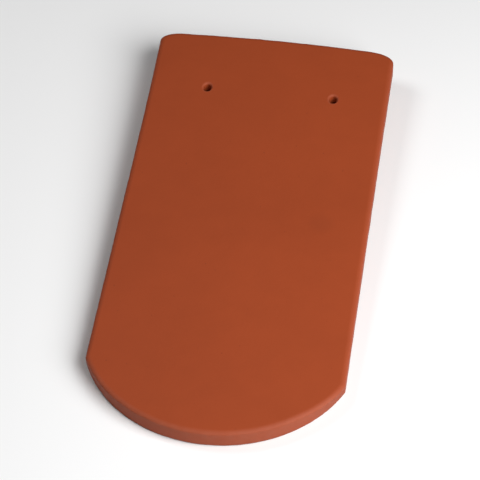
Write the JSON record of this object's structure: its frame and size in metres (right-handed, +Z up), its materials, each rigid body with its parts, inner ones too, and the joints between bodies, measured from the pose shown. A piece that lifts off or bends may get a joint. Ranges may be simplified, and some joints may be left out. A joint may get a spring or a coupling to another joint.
{
  "type": "beaver-tail clay roof tile",
  "caption": "Flat clay roof tile with a round-cut tail, rolled edges, nail holes near its head and a nib on its back that hooks over the batten.",
  "frame": {"origin": "middle of the tile's footprint, on the level floor that it lies on with its face up", "axes": "+X across the tile, +Y level and along the tile from tail to head, +Z up; the face rises towards the head by 2.4 degrees, because the head stands on the nib"},
  "size_m": [0.18, 0.38, 0.0295],
  "materials": {
    "fired_clay": "matte"
  },
  "bodies": {
    "root": {"roof_tile": "fired_clay"}
  },
  "joints": []
}
